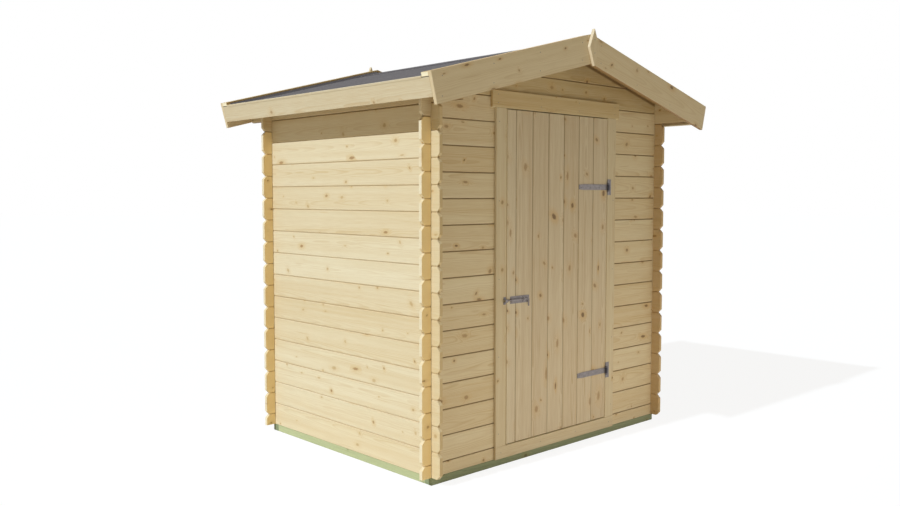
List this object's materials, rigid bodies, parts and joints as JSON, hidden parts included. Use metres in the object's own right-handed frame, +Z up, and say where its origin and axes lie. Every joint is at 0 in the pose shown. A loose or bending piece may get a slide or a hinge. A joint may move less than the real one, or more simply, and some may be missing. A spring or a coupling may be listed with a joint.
{
  "type": "wooden garden shed",
  "caption": "Small garden shed of interlocking pine logs with a shallow felted gable roof, barge boards, diamond finials and a hinged ledged door with a sliding bolt.",
  "frame": {"origin": "on the ground under the middle of the four walls", "axes": "+Z up, the door faces -Y, +X to the right seen from the front"},
  "size_m": [2.128, 1.7854, 2.1373],
  "materials": {
    "log_pine": "planed raw pine with knots",
    "trim_pine": "planed raw pine",
    "door_pine": "planed raw pine boards",
    "roof_pine": "sawn pine",
    "treated_wood": "green treated softwood",
    "felt": "mineral roofing felt",
    "zinc": "dull galvanised steel"
  },
  "bodies": {
    "root": {"front_bearer": "treated_wood", "rear_bearer": "treated_wood", "left_bearer": "treated_wood", "right_bearer": "treated_wood", "left_wall_logs": "log_pine", "right_wall_logs": "log_pine", "rear_wall_logs": "log_pine", "front_logs_left": "log_pine", "front_logs_right": "log_pine", "front_sill_log": "log_pine", "front_gable_logs": "log_pine", "rear_gable_logs": "log_pine", "left_eave_purlin": "log_pine", "right_eave_purlin": "log_pine", "ridge_purlin": "roof_pine", "left_roof_boards": "roof_pine", "right_roof_boards": "roof_pine", "left_roof_felt": "felt", "right_roof_felt": "felt", "ridge_felt": "felt", "left_fascia": "trim_pine", "right_fascia": "trim_pine", "front_left_barge": "trim_pine", "front_right_barge": "trim_pine", "rear_left_barge": "trim_pine", "rear_right_barge": "trim_pine", "front_left_batten": "trim_pine", "front_right_batten": "trim_pine", "rear_left_batten": "trim_pine", "rear_right_batten": "trim_pine", "front_finial": "trim_pine", "rear_finial": "trim_pine", "left_door_post": "trim_pine", "right_door_post": "trim_pine", "door_head": "trim_pine", "door_sill_board": "trim_pine", "upper_hinge_plate": "zinc", "lower_hinge_plate": "zinc", "bolt_keeper": "zinc"},
    "door": {"door_leaf": "door_pine", "door_ledges": "door_pine", "upper_hinge_strap": "zinc", "lower_hinge_strap": "zinc", "bolt_plate": "zinc"},
    "bolt": {"bolt_rod": "zinc"}
  },
  "joints": [
    {"name": "door_hinge", "type": "hinge", "parent": "root", "child": "door", "pos_m": [0.39725, -0.6877, 0.8645], "axis": [0, 0, 1], "range_deg": [0, 150]},
    {"name": "bolt_slide", "type": "slide", "parent": "door", "child": "bolt", "axis": [-1, 0, 0], "range_m": [0, 0.02]}
  ]
}
